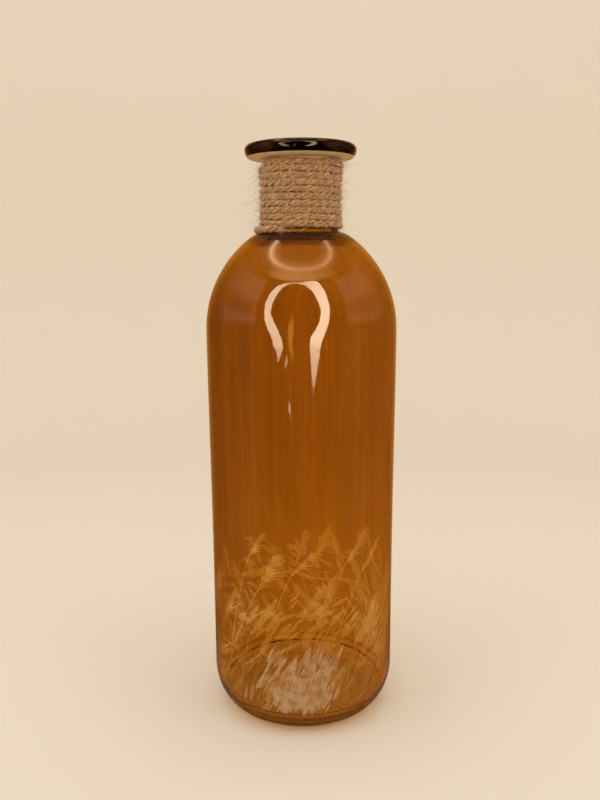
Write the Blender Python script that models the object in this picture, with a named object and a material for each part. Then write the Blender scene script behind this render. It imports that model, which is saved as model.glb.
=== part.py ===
"""Bottle-shaped bud vase: a stained glass vessel with jute twine wound on its neck.

Metres, +Z up. The origin is the centre of the foot, on the surface that the vase stands on.
The vessel is one turned wall with a push-up foot, a rounded heel, a long side that swells a
little towards the shoulder, a waisted neck and a fat rolled lip. The twine is one unbroken
left-handed winding, and it seats on the glass the way a rope does: a circle of the twine's
size rolls down the outline of shoulder, neck and lip, and its centre gives the winding's radius.
"""
import math

import bmesh
import bpy
import numpy as np

# Foot and base
BODY_R = 0.0489
HEEL_REACH = 0.0148
HEEL_H = 0.0220
RING_WIDTH = 0.0036
PUSH_UP_H = 0.0035
BASE_WALL = 0.0050
FLOOR_HEEL_REACH = 0.0110
FLOOR_HEEL_H = 0.0160

# Side and shoulder
WALL = 0.0030
SIDE_H = 0.1840
SHOULDER_R = 0.0499
SHOULDER_H = 0.0500

# Neck
NECK_R = 0.0179
NECK_H = 0.0362
NECK_FLARE = 0.0012
NECK_FOOT_FILLET = 0.0022

# Lip
LIP_R = 0.0285
LIP_H = 0.0078
LIP_WIDEST_DROP = 0.0029
LIP_TOP_ROUND = 0.0036
LIP_UNDER_ROUND = 0.0032
LIP_UNDER_RISE = 0.0004
LIP_ROOT_FILLET = 0.0012
CREST_WIDTH = 0.0025
THROAT_H = 0.0110

# Twine
TWINE_D = 0.0029
TWINE_SPACING = 0.00044
SEAT_GAP = 0.0003

# Shares that shape the curves: how far each curve's handles reach along its own box
SIDE_HANDLE_SHARES = (0.60, 0.25)
SHOULDER_RISE_SHARE = 0.63
SHOULDER_RUN_SHARE = 0.176
SHOULDER_TOP_SLOPE_SHARE = 0.18
FILLET_HANDLE_SHARE = 0.55
NECK_FLARE_POWER = 4

# Directions and counts
TWINE_START_DEG = 225
LOOP_POINTS = 24
TURNED_STEPS = 60
SHARP_EDGE_DEG = 50
MERGE_DISTANCE = 0.00001

# Sizes that follow
RING_OUTER_R = BODY_R - HEEL_REACH
RING_INNER_R = RING_OUTER_R - RING_WIDTH
SHOULDER_Z = HEEL_H + SIDE_H
NECK_FOOT_Z = SHOULDER_Z + SHOULDER_H
LIP_UNDER_Z = NECK_FOOT_Z + NECK_H
TOP_Z = LIP_UNDER_Z + LIP_H
LIP_WIDEST_Z = TOP_Z - LIP_WIDEST_DROP
CREST_OUTER_R = LIP_R - LIP_TOP_ROUND
CREST_INNER_R = CREST_OUTER_R - CREST_WIDTH
TWINE_R = TWINE_D / 2
ROLL_R = TWINE_R + SEAT_GAP
TWINE_PITCH = TWINE_D + TWINE_SPACING


def curve(start, start_handle, end_handle, end, steps):
    """Points on the cubic curve between two ends, with its two handles."""
    points = []
    for t in np.linspace(0, 1, steps + 1):
        weights = ((1 - t) ** 3, 3 * t * (1 - t) ** 2, 3 * t * t * (1 - t), t ** 3)
        ends = zip(weights, (start, start_handle, end_handle, end))
        points.append(sum(w * np.array(p) for w, p in ends))
    return points


def arc(centre, reach, height, from_deg, to_deg, steps):
    """Points on an ellipse's arc: 0 degrees is outward, and 90 degrees is up."""
    points = []
    for angle in np.radians(np.linspace(from_deg, to_deg, steps + 1)):
        offset = np.array((reach * math.cos(angle), height * math.sin(angle)))
        points.append(np.array(centre) + offset)
    return points


def inset(points, depth):
    """The same run moved inwards by the wall, square to the run, which climbs."""
    run = np.array(points)
    along = np.gradient(run, axis=0)
    along /= np.linalg.norm(along, axis=1)[:, None]
    inward = np.stack((-along[:, 1], along[:, 0]), axis=1)
    inward[0] = (-1, 0)
    return list(run + depth * inward)


def dome_height(radius):
    """The push-up's height: a half wave that is level at its centre and at the ring."""
    share = min(radius / RING_INNER_R, 1)
    return PUSH_UP_H * (1 + math.cos(math.pi * share)) / 2


def dome(lift, steps):
    """The push-up from the axis out to the bearing ring, raised by a lift."""
    return [np.array((r, lift + dome_height(r))) for r in np.linspace(0, RING_INNER_R, steps + 1)]


def side(steps):
    """The side, climbing: straight at the heel, then swelling to the shoulder's radius."""
    low_share, high_share = SIDE_HANDLE_SHARES
    start = (BODY_R, HEEL_H)
    end = (SHOULDER_R, SHOULDER_Z)
    start_handle = (BODY_R, HEEL_H + low_share * SIDE_H)
    end_handle = (SHOULDER_R, SHOULDER_Z - high_share * SIDE_H)
    return curve(start, start_handle, end_handle, end, steps)


def neck_radius(z):
    """The waisted neck: its waist radius, plus a flare that grows towards both ends."""
    middle = NECK_FOOT_Z + NECK_H / 2
    share = abs(z - middle) / (NECK_H / 2)
    return NECK_R + NECK_FLARE * share ** NECK_FLARE_POWER


def shoulder(steps):
    """The domed shoulder, climbing to where the neck's fillet starts, almost level there."""
    end_r = neck_radius(NECK_FOOT_Z) + NECK_FOOT_FILLET
    run = SHOULDER_R - end_r
    back = SHOULDER_RUN_SHARE * run
    start_handle = (SHOULDER_R, SHOULDER_Z + SHOULDER_RISE_SHARE * SHOULDER_H)
    end_handle = (end_r + back, NECK_FOOT_Z - SHOULDER_TOP_SLOPE_SHARE * back)
    return curve((SHOULDER_R, SHOULDER_Z), start_handle, end_handle, (end_r, NECK_FOOT_Z), steps)


def neck_foot(steps):
    """The hollow fillet from the shoulder's top up into the neck."""
    end_z = NECK_FOOT_Z + NECK_FOOT_FILLET
    end_r = neck_radius(end_z)
    start_r = neck_radius(NECK_FOOT_Z) + NECK_FOOT_FILLET
    reach = FILLET_HANDLE_SHARE * (start_r - end_r)
    rise = FILLET_HANDLE_SHARE * NECK_FOOT_FILLET
    start_handle = (start_r - reach, NECK_FOOT_Z + SHOULDER_TOP_SLOPE_SHARE * reach)
    return curve((start_r, NECK_FOOT_Z), start_handle, (end_r, end_z - rise), (end_r, end_z), steps)


def neck(top_z, steps):
    """The neck, climbing from its fillet to a height."""
    low_z = NECK_FOOT_Z + NECK_FOOT_FILLET
    return [np.array((neck_radius(z), z)) for z in np.linspace(low_z, top_z, steps + 1)]


def lip_root(steps):
    """The small hollow fillet where the neck runs out under the lip."""
    low_z = LIP_UNDER_Z - LIP_ROOT_FILLET
    centre = (neck_radius(low_z) + LIP_ROOT_FILLET, low_z)
    return arc(centre, LIP_ROOT_FILLET, LIP_ROOT_FILLET, 180, 90, steps)


def lip(steps):
    """The rolled lip from its underside round its widest line and over its crest."""
    under_z = LIP_UNDER_Z + LIP_UNDER_RISE
    under_centre = (LIP_R - LIP_UNDER_ROUND, LIP_WIDEST_Z)
    top_centre = (CREST_OUTER_R, LIP_WIDEST_Z)
    under = arc(under_centre, LIP_UNDER_ROUND, LIP_WIDEST_Z - under_z, -90, 0, steps)
    top = arc(top_centre, LIP_TOP_ROUND, LIP_WIDEST_DROP, 0, 90, steps)
    return under + top


def throat(bore_r, steps):
    """The rounded mouth from the crest down to the neck's bore."""
    centre = (CREST_INNER_R, TOP_Z - THROAT_H)
    return arc(centre, CREST_INNER_R - bore_r, THROAT_H, 90, 180, steps)


def heel(steps):
    """The rounded heel, climbing from the bearing ring to the side."""
    return arc((RING_OUTER_R, HEEL_H), HEEL_REACH, HEEL_H, -90, 0, steps)


def inside_heel(steps):
    """The rounding between floor and side, inside."""
    floor_r = BODY_R - WALL - FLOOR_HEEL_REACH
    centre = (floor_r, BASE_WALL + FLOOR_HEEL_H)
    return arc(centre, FLOOR_HEEL_REACH, FLOOR_HEEL_H, -90, 0, steps)


def chain(*runs):
    """One list of points from several runs, without the points that two runs share."""
    points = []
    for run in runs:
        for point in run:
            if not points or np.linalg.norm(point - points[-1]) > MERGE_DISTANCE:
                points.append(point)
    return points


def vessel_profile():
    """The whole wall: up the inside from the floor's centre, over the lip, down to the push-up."""
    climb = chain(side(6), shoulder(11), neck_foot(3), neck(TOP_Z - THROAT_H, 5))
    inner_wall = [p for p in inset(climb, WALL) if p[1] > BASE_WALL + FLOOR_HEEL_H]
    inside = chain(dome(BASE_WALL, 4), inside_heel(7), inner_wall)
    mouth = throat(inside[-1][0], 7)[::-1]
    lip_underside = LIP_UNDER_Z - LIP_ROOT_FILLET
    outside = chain(heel(9), side(6), shoulder(13), neck_foot(4), neck(lip_underside, 7),
                    lip_root(3), lip(6))
    foot = dome(0, 4)[::-1]
    return chain(inside, mouth, outside[::-1], foot)


def turned_mesh(name, profile):
    """A closed mesh from a profile that starts and ends on the axis, turned about +Z."""
    mesh = bpy.data.meshes.new(name)
    shape = bmesh.new()
    verts = [shape.verts.new((r, 0, z)) for r, z in profile]
    edges = [shape.edges.new(pair) for pair in zip(verts, verts[1:])]
    bmesh.ops.spin(shape, geom=verts + edges, cent=(0, 0, 0), axis=(0, 0, 1),
                   angle=math.tau, steps=TURNED_STEPS, use_duplicate=False)
    bmesh.ops.remove_doubles(shape, verts=shape.verts, dist=MERGE_DISTANCE)
    bmesh.ops.recalc_face_normals(shape, faces=shape.faces)
    shape.to_mesh(mesh)
    shape.free()
    mesh.shade_smooth()
    mesh.set_sharp_from_angle(angle=math.radians(SHARP_EDGE_DEG))
    return mesh


def seated_radius(z):
    """The radius at which a circle of the twine's size and gap touches the glass at a height."""
    fine_steps = 60
    outline = chain(shoulder(fine_steps), neck_foot(fine_steps),
                    neck(LIP_UNDER_Z - LIP_ROOT_FILLET, fine_steps), lip_root(fine_steps))
    touches = [r + math.sqrt(ROLL_R ** 2 - (z - low) ** 2) for r, low in outline
               if abs(z - low) < ROLL_R]
    chord_share = 1 / math.cos(math.pi / LOOP_POINTS)
    return max(touches) * chord_share


def winding_points():
    """The winding's centre line, from its end under the lip down to the shoulder."""
    top_z = LIP_UNDER_Z - ROLL_R
    low_z = NECK_FOOT_Z + ROLL_R
    count = round(LOOP_POINTS * (top_z - low_z) / TWINE_PITCH)
    points = []
    for index in range(count + 1):
        z = top_z - TWINE_PITCH * index / LOOP_POINTS
        angle = math.radians(TWINE_START_DEG) + math.tau * index / LOOP_POINTS
        radius = seated_radius(z)
        points.append((radius * math.cos(angle), radius * math.sin(angle), z))
    return np.array(points)


def with_straight_ends(points):
    """The centre line with a level straight run of one twine diameter at each end."""
    runs = []
    for end, inner in ((points[0], points[1]), (points[-1], points[-2])):
        direction = (end - inner) * (1, 1, 0)
        runs.append(end + TWINE_D * direction / np.linalg.norm(direction))
    return np.vstack((runs[0], points, runs[1]))


def least_self_gap(points):
    """The least gap between points that lie at least half a loop apart."""
    half_loop = LOOP_POINTS // 2
    gaps = [np.linalg.norm(points[i + half_loop:] - points[i], axis=1).min()
            for i in range(len(points) - half_loop)]
    return min(gaps) - TWINE_D


def tube(name, points, radius):
    """A round tube along a list of points, with filled ends."""
    data = bpy.data.curves.new(name, "CURVE")
    data.dimensions = "3D"
    data.bevel_depth = radius
    data.bevel_resolution = 1
    data.use_fill_caps = True
    spline = data.splines.new("POLY")
    spline.points.add(len(points) - 1)
    for spot, (x, y, z) in zip(spline.points, points):
        spot.co = (x, y, z, 1)
    spline.use_smooth = True
    return data


def material(name, colour, roughness, transmission):
    """A Principled material with the piece's colour and finish."""
    made = bpy.data.materials.new(name)
    made.use_nodes = True
    surface = made.node_tree.nodes["Principled BSDF"]
    surface.inputs["Base Color"].default_value = (*colour, 1)
    surface.inputs["Roughness"].default_value = roughness
    surface.inputs["Metallic"].default_value = 0
    surface.inputs["Transmission Weight"].default_value = transmission
    return made


def add(name, data, finish):
    """One named object in the scene with its material."""
    piece = bpy.data.objects.new(name, data)
    data.materials.append(finish)
    bpy.context.scene.collection.objects.link(piece)
    return piece


def build():
    """The whole vase."""
    for old in list(bpy.data.objects):
        bpy.data.objects.remove(old, do_unlink=True)

    stained_glass = material("stained_glass", (0.283, 0.070, 0.008), 0.04, 0.9)
    add("glass_vessel", turned_mesh("glass_vessel", vessel_profile()), stained_glass)

    jute = material("jute", (0.429, 0.205, 0.074), 0.9, 0)
    points = with_straight_ends(winding_points())
    print(f"neck_twine: least gap to itself {least_self_gap(points) * 1000:.3f} mm")
    add("neck_twine", tube("neck_twine", points, TWINE_R), jute)


build()
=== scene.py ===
"""Looks of the bottle-shaped bud vase: stained glass with bare etched reeds, and jute twine.

Metres, +Z up, in the frame of the CAD model. The front is -Y. The glass is turned from the same
profile as the CAD solid, only finer, because its facets would show in the refraction.
"""
import math

import bpy
import numpy as np
from mathutils import Matrix, Vector
from mathutils.geometry import delaunay_2d_cdt


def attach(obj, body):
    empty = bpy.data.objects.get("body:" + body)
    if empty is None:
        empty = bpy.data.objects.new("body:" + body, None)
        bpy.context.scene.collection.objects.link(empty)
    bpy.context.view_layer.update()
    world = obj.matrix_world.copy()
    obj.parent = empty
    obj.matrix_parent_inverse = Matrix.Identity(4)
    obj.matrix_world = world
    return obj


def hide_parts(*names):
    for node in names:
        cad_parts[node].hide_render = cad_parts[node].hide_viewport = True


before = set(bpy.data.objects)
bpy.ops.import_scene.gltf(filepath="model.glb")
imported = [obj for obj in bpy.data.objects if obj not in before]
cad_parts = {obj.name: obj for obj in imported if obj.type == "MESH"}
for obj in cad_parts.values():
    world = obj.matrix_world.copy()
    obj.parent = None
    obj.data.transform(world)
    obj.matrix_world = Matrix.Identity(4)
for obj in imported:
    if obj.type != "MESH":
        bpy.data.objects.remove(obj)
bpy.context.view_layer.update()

TURN = 2 * math.pi
MM = 1000
# Two points that lie closer than this are one
TOUCH = 1e-7

# Sizes of the glass, the same as the CAD source's
BODY_R = 0.0489
HEEL_REACH = 0.0148
HEEL_H = 0.0220
RING_WIDTH = 0.0036
PUSH_UP_H = 0.0035
BASE_WALL = 0.0050
FLOOR_HEEL_REACH = 0.0110
FLOOR_HEEL_H = 0.0160
WALL = 0.0030
SIDE_H = 0.1840
SHOULDER_R = 0.0499
SHOULDER_H = 0.0500
NECK_R = 0.0179
NECK_H = 0.0362
NECK_FLARE = 0.0012
NECK_FOOT_FILLET = 0.0022
LIP_R = 0.0285
LIP_H = 0.0078
LIP_WIDEST_DROP = 0.0029
LIP_TOP_ROUND = 0.0036
LIP_UNDER_ROUND = 0.0032
LIP_UNDER_RISE = 0.0004
LIP_ROOT_FILLET = 0.0012
CREST_WIDTH = 0.0025
THROAT_H = 0.0110
RING_OUTER_R = BODY_R - HEEL_REACH
RING_INNER_R = RING_OUTER_R - RING_WIDTH
SHOULDER_Z = HEEL_H + SIDE_H
NECK_FOOT_Z = SHOULDER_Z + SHOULDER_H
LIP_UNDER_Z = NECK_FOOT_Z + NECK_H
TOP_Z = LIP_UNDER_Z + LIP_H
LIP_WIDEST_Z = TOP_Z - LIP_WIDEST_DROP
CREST_OUTER_R = LIP_R - LIP_TOP_ROUND
CREST_INNER_R = CREST_OUTER_R - CREST_WIDTH

# How far the handles of the outline's curves reach, the same as the CAD source's
SIDE_HANDLE_SHARES = (0.60, 0.25)
SHOULDER_RISE_SHARE = 0.63
SHOULDER_RUN_SHARE = 0.176
SHOULDER_TOP_SLOPE_SHARE = 0.18
FILLET_HANDLE_SHARE = 0.55

# Sizes of the twine, the same as the CAD source's
TWINE_R = 0.00145
SEAT_GAP = 0.0003
ROLL_R = TWINE_R + SEAT_GAP
TWINE_PITCH = 0.00334
TWINE_START = math.radians(225)

# Columns round the glass, and steps along each curve of its outline
COLUMNS = 216
FLOOR_STEPS = 16
MOUTH_STEPS = 18
LIP_TOP_STEPS = 12
LIP_UNDER_STEPS = 9
LIP_ROOT_STEPS = 5
NECK_STEPS = 9
FILLET_STEPS = 7
SHOULDER_STEPS = 30
SIDE_STEPS = 30
HEEL_STEPS = 20
PUSH_UP_STEPS = 12

# The floor's heel in three parts, each from and to in degrees, and its steps: one narrow row
# lies where the plunger's rim left its marks. Then the marks' height, how far they reach from
# it, and the share of them that holds stain
FLOOR_HEEL_PARTS = ((-90, -43.5, 7), (-43.5, -40.5, 1), (-40.5, 0, 6))
RIM_MARK_Z = 0.0104
RIM_MARK_REACH = 0.0003
RIM_MARK_SHARE = 0.8

# The foot: bumps of the knurled bearing ring, and how far up and out the glass is bare
STIPPLES = COLUMNS // 4
STIPPLE_H = 0.0003
BARE_FOOT_Z = 0.0035
BARE_FOOT_R = RING_OUTER_R + 0.002

# Where the mottled floor ends, where the dark lip begins outside, how far under the top it ends
# inside, and how far below the lip's underside the thin stain begins
MOTTLED_R = 0.0426
MOTTLED_Z = 0.0200
DARK_LIP_Z = 0.29390
DARK_THROAT_DROP = 0.0060
THIN_STAIN_DROP = 0.0004

# The zone of the outer wall that carries the reeds, the rows and columns of points that fill it
# between them, and how far the reeds stay off its two ends
REED_LOW_Z = 0.0070
REED_HIGH_Z = 0.1180
REED_ROWS = 30
REED_COLUMNS = 120
REED_R = BODY_R
REED_MARGIN_MM = 2
WALL_MM_PER_DEGREE = REED_R * MM * math.radians(1)

# Reeds with heads: degrees and height in mm of the root, of the head's foot and of its tip, the
# side that the barbs droop to, and how full the head is
HEADS = (
    (216, 20, 236.1, 94.7, 245.3, 108.6, 1, 1.0), (212, 18, 241.4, 77.1, 253.5, 98.0, 1, 1.3),
    (236, 18, 263.2, 88.3, 274.8, 99.8, 1, 0.9), (268, 20, 295.4, 92.2, 309.6, 108.4, 1, 1.3),
    (276, 18, 306.8, 86.5, 321.0, 101.2, 1, 0.9), (262, 18, 279.4, 66.0, 288.2, 85.8, 1, 1.2),
    (252, 16, 267.1, 63.3, 280.4, 81.8, 1, 1.1), (228, 16, 235.9, 52.9, 250.5, 71.6, 1, 1.3),
    (290, 18, 304.9, 50.3, 320.5, 70.7, 1, 1.4), (300, 24, 331.5, 66.0, 343.0, 84.5, 1, 1.1),
    (324, 20, 347.0, 72.0, 357.0, 90.0, 1, 1.2), (200, 20, 214.0, 58.0, 225.0, 76.0, 1, 1.1),
    (338, 18, 362.5, 58.0, 373.0, 78.5, 1, 1.2), (4, 18, 21.0, 64.0, 33.0, 84.0, 1, 1.1),
    (18, 18, 38.0, 50.0, 51.5, 70.0, 1, 1.3), (38, 20, 57.0, 60.0, 68.0, 80.0, 1, 1.2),
    (64, 20, 84.0, 55.0, 72.0, 81.0, -1, 1.3), (84, 18, 103.0, 52.0, 114.0, 73.0, 1, 1.1),
    (74, 18, 95.0, 58.0, 88.0, 79.0, -1, 1.0), (104, 18, 121.0, 60.0, 132.0, 80.0, 1, 1.2),
    (122, 18, 139.0, 48.0, 151.0, 68.5, 1, 1.3), (136, 20, 155.0, 62.0, 166.0, 82.0, 1, 1.1),
    (154, 18, 172.0, 50.0, 184.0, 71.5, 1, 1.2), (176, 20, 193.5, 62.0, 205.0, 81.0, 1, 1.1),
)
# Thickets: the middle in degrees and mm, and how far the leaves stray from it each way
THICKETS = ((247, 58, 12, 4.5), (280, 66, 11, 8), (318, 52, 11, 7),
            (8, 58, 11, 6), (100, 62, 11, 7), (172, 56, 11, 6))
# Clumps: the middle in degrees, and how full each is
CLUMPS = ((267, 1.0), (27, 0.45), (147, 0.45))
# A clump's two tiers: lowest and highest root in mm, leaves, thinnest and widest leaf in mm
CLUMP_TIERS = ((12, 26, 90, 0.9, 2.4), (25, 42, 90, 0.6, 1.9))
LONG_LEAVES = 74
BROAD_LEAVES = 150
THICKET_LEAVES = 20
BARE_STEMS = 160
FLECKS = 40

# Twist of the twine: its three plies, one lay and the length of one step along it
PLIES = 3
PLY_R = 0.00085
PLY_OFFSET = 0.00078
PLY_SIDES = 8
PLY_STEP = 0.0006
LAY = 0.0132
# The circle that the plies' centres go round is flattened against the glass: its reach outwards
# and upwards, as shares of its size
PLY_REACH_OUT = 0.94
PLY_REACH_UP = 1.18
# How the winding was laid: its turns, the turns tucked in before its start, its mean radius, the
# swing that slows its fall across the front, how far the last turn dips, and the fall at which
# two turns lie clear. Its last quarter turn lies level on the shoulder, which the CAD source's
# even winding leaves out
TWINE_TURNS = 10.05
TUCKED_TURNS = 0.03
WINDING_R = 0.0195
FRONT_SWING = 0.6
FRONT_SWING_AT = math.radians(135)
LAST_TURN_DIP = 0.00015
CLEAR_DROP = 1.96 * TWINE_R
# Unevenness of the winding, its thickness, its lay, and each ply's place, thickness and
# strands: the size of each, and the length in metres over which it changes
STRAY_Z = (0.00010, 0.016)
STRAY_R = (0.00007, 0.012)
SWELL = (0.05, 0.014)
LAY_DRIFT = (0.35, 0.02)
PLY_STRAY = (0.06, 0.006)
SLUBS = (0.09, 0.005)
STRANDS = (0.05, 0.005)
# In the fibres' pattern: length in which they twist once round a ply, and each ply's shift
FIBRE_TWIST_MM = 9.0
PLY_SHIFT = 7.3

# Loose fibres, drawn coarser than real ones, whose radius is 0.03 to 0.05 mm, so that they show
FUZZ_COUNT = 2100
FUZZ_RADII = (0.00006, 0.00012)
FUZZ_SHORTEST = 0.0010
FUZZ_MEAN = 0.0023
FUZZ_LONGEST = 0.0080
FRAY_COUNT = 46
FRAY_RADII = (0.00007, 0.00013)
FRAY_LENGTHS = (0.0025, 0.0085)
FIBRE_STEPS = 5

# The tube lamp's plane, and the radiance of its brightest stretch
LAMP_Y = -0.45
LAMP_GLOW = 17.9

# Finishes of the glass, in the order of the vessel's materials
STAINED, CLEAR, DARK, ETCHED, THIN, PRESSED = range(6)


# Curves and surfaces

def unit(vectors):
    """The vectors, each divided by its own length."""
    return vectors / np.linalg.norm(vectors, axis=-1, keepdims=True)


def dot(first, second):
    """Scalar product of each pair of vectors, kept as a column."""
    return (first * second).sum(1)[:, None]


def square_to(run):
    """Unit vectors square to a run in the plane: its direction turned a quarter to the left."""
    along = unit(np.gradient(run, axis=0))
    return np.stack((-along[:, 1], along[:, 0]), axis=1)


def turned(radius, height, angle):
    """Points turned about +Z: radius times the angle's cosine and sine, and the height."""
    return np.stack((radius * np.cos(angle), radius * np.sin(angle), height), axis=-1)


def band_quads(grid):
    """Quads between the rings of point numbers in a grid whose last axis runs round."""
    beside = np.roll(grid, -1, axis=-1)
    return np.stack((grid[..., :-1, :], grid[..., 1:, :], beside[..., 1:, :],
                     beside[..., :-1, :]), axis=-1)


def cubic(start, start_handle, end_handle, end, steps):
    """Cubic curve: each point is the four given points weighted by the Bernstein weights."""
    t = np.linspace(0, 1, steps + 1)[:, None]
    ends = [np.array(p, float) for p in (start, start_handle, end_handle, end)]
    return ((1 - t) ** 3 * ends[0] + 3 * t * (1 - t) ** 2 * ends[1]
            + 3 * t * t * (1 - t) * ends[2] + t ** 3 * ends[3])


def bend(start, middle, end, steps):
    """Quadratic curve through its two ends, pulled towards a middle point."""
    t = np.linspace(0, 1, steps + 1)[:, None]
    return (1 - t) ** 2 * start + 2 * t * (1 - t) * middle + t * t * end


def arc(centre, reach, height, from_deg, to_deg, steps):
    """Ellipse arc: centre plus reach times the cosine outward and height times the sine up."""
    a = np.radians(np.linspace(from_deg, to_deg, steps + 1))
    return np.stack((centre[0] + reach * np.cos(a), centre[1] + height * np.sin(a)), axis=1)


def chain(*runs):
    """The runs one after another, without the points that two neighbours share."""
    run = np.vstack(runs)
    keep = np.ones(len(run), bool)
    keep[1:] = np.linalg.norm(np.diff(run, axis=0), axis=1) > TOUCH
    return run[keep]


# Outline of the glass

def dome(lift, steps):
    """Push-up: its height is a half cosine wave of the radius, plus a lift."""
    r = np.linspace(0, RING_INNER_R, steps + 1)
    return np.stack((r, lift + PUSH_UP_H * (1 + np.cos(math.pi * r / RING_INNER_R)) / 2), axis=1)


def neck_radius(z):
    """Waisted neck: waist radius plus a flare by the fourth power of the distance from mid."""
    share = np.abs(z - NECK_FOOT_Z - NECK_H / 2) / (NECK_H / 2)
    return NECK_R + NECK_FLARE * share ** 4


def climb_to(top_z, density):
    """Outer wall from the heel's top to a height on the neck: cubic curves up the side, over the
    shoulder and through the fillet, then the neck, with a density of points."""
    low_share, high_share = SIDE_HANDLE_SHARES
    side = cubic((BODY_R, HEEL_H), (BODY_R, HEEL_H + low_share * SIDE_H),
                 (SHOULDER_R, SHOULDER_Z - high_share * SIDE_H), (SHOULDER_R, SHOULDER_Z),
                 SIDE_STEPS * density)
    foot_r = float(neck_radius(NECK_FOOT_Z)) + NECK_FOOT_FILLET
    back = SHOULDER_RUN_SHARE * (SHOULDER_R - foot_r)
    shoulder = cubic((SHOULDER_R, SHOULDER_Z),
                     (SHOULDER_R, SHOULDER_Z + SHOULDER_RISE_SHARE * SHOULDER_H),
                     (foot_r + back, NECK_FOOT_Z - SHOULDER_TOP_SLOPE_SHARE * back),
                     (foot_r, NECK_FOOT_Z), SHOULDER_STEPS * density)
    end_z = NECK_FOOT_Z + NECK_FOOT_FILLET
    end_r = float(neck_radius(end_z))
    reach = FILLET_HANDLE_SHARE * (foot_r - end_r)
    fillet = cubic((foot_r, NECK_FOOT_Z),
                   (foot_r - reach, NECK_FOOT_Z + SHOULDER_TOP_SLOPE_SHARE * reach),
                   (end_r, end_z - FILLET_HANDLE_SHARE * NECK_FOOT_FILLET), (end_r, end_z),
                   FILLET_STEPS * density)
    z = np.linspace(end_z, top_z, NECK_STEPS * density + 1)
    return chain(side, shoulder, fillet, np.stack((neck_radius(z), z), axis=1))


def heel(steps):
    """Rounded heel: a quarter ellipse from the bearing ring up to the side."""
    return arc((RING_OUTER_R, HEEL_H), HEEL_REACH, HEEL_H, -90, 0, steps)


def lip_root(steps):
    """Fillet from the neck out under the lip: a quarter circle."""
    low_z = LIP_UNDER_Z - LIP_ROOT_FILLET
    centre = (float(neck_radius(low_z)) + LIP_ROOT_FILLET, low_z)
    return arc(centre, LIP_ROOT_FILLET, LIP_ROOT_FILLET, 180, 90, steps)


def vessel_rows():
    """Profile rows from the floor's centre up the inside, over the lip, down the outside and in
    under the foot, with the count of the inside's rows. The inside wall is the outside moved
    inwards by the wall, square to it."""
    climb = climb_to(TOP_Z - THROAT_H, 1)
    wall = climb + WALL * square_to(climb)
    wall = wall[wall[:, 1] > BASE_WALL + FLOOR_HEEL_H]
    floor_heel = [arc((BODY_R - WALL - FLOOR_HEEL_REACH, BASE_WALL + FLOOR_HEEL_H),
                      FLOOR_HEEL_REACH, FLOOR_HEEL_H, *part) for part in FLOOR_HEEL_PARTS]
    inside = chain(dome(BASE_WALL, FLOOR_STEPS), *floor_heel, wall)
    mouth = arc((CREST_INNER_R, TOP_Z - THROAT_H), CREST_INNER_R - inside[-1, 0], THROAT_H,
                180, 90, MOUTH_STEPS)
    under = arc((LIP_R - LIP_UNDER_ROUND, LIP_WIDEST_Z), LIP_UNDER_ROUND,
                LIP_WIDEST_Z - (LIP_UNDER_Z + LIP_UNDER_RISE), -90, 0, LIP_UNDER_STEPS)
    top = arc((CREST_OUTER_R, LIP_WIDEST_Z), LIP_TOP_ROUND, LIP_WIDEST_DROP, 0, 90,
              LIP_TOP_STEPS)
    outside = chain(heel(HEEL_STEPS), climb_to(LIP_UNDER_Z - LIP_ROOT_FILLET, 1),
                    lip_root(LIP_ROOT_STEPS), under, top)[::-1]
    return chain(inside, mouth, outside, dome(0, PUSH_UP_STEPS)[::-1]), len(inside)


def outside_table():
    """Fine table of the outer wall, for points between rows: height, radius, and the outward
    and upward parts of its normal."""
    run = chain(heel(400), climb_to(NECK_FOOT_Z + 0.01, 12))
    run = run[run[:, 1] < REED_HIGH_Z + 0.01]
    outward = -square_to(run)
    return run[:, 1], run[:, 0], outward[:, 0], outward[:, 1]


# Reeds, drawn in the unrolled wall, in mm

def on_wall(degrees, height_mm):
    """A point of the unrolled wall: arc length from +X, and height."""
    return np.array((degrees * WALL_MM_PER_DEGREE, height_mm))


def climb_from(start, length, degrees):
    """The point at a length from the start, in a direction that rises by so many degrees."""
    rise = math.radians(degrees)
    return start + length * np.array((math.cos(rise), math.sin(rise)))


def ribbon(path, widths):
    """Closed outline of a flat ribbon: the path moved to both sides by its half widths."""
    along = np.gradient(path, axis=0)
    along /= np.linalg.norm(along, axis=1)[:, None] + 1e-9
    side = np.stack((-along[:, 1], along[:, 0]), axis=1) * widths[:, None]
    return np.vstack((path + side, (path - side)[::-1]))


def leaning(root, tip, sag, steps):
    """A path that leans over: a bend whose middle point is moved aside by a sag."""
    reach = tip - root
    return bend(root, (root + tip) / 2 + sag * np.array((-reach[1], reach[0])), tip, steps)


def stem(root, tip, sag, width, steps):
    """A stem's ribbon: it leans over, and narrows to three fifths at its tip."""
    path = leaning(root, tip, sag, steps)
    return ribbon(path, np.linspace(width, 0.6 * width, len(path)) / 2)


def blade(root, tip, sag, width, steps):
    """A leaf blade: it leans over, and its half width is a sine that peaks a third of the way
    out."""
    path = leaning(root, tip, sag, steps)
    t = np.linspace(0.02, 0.985, len(path))
    return ribbon(path, width / 2 * np.sin(math.pi * t ** 0.65))


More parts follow.
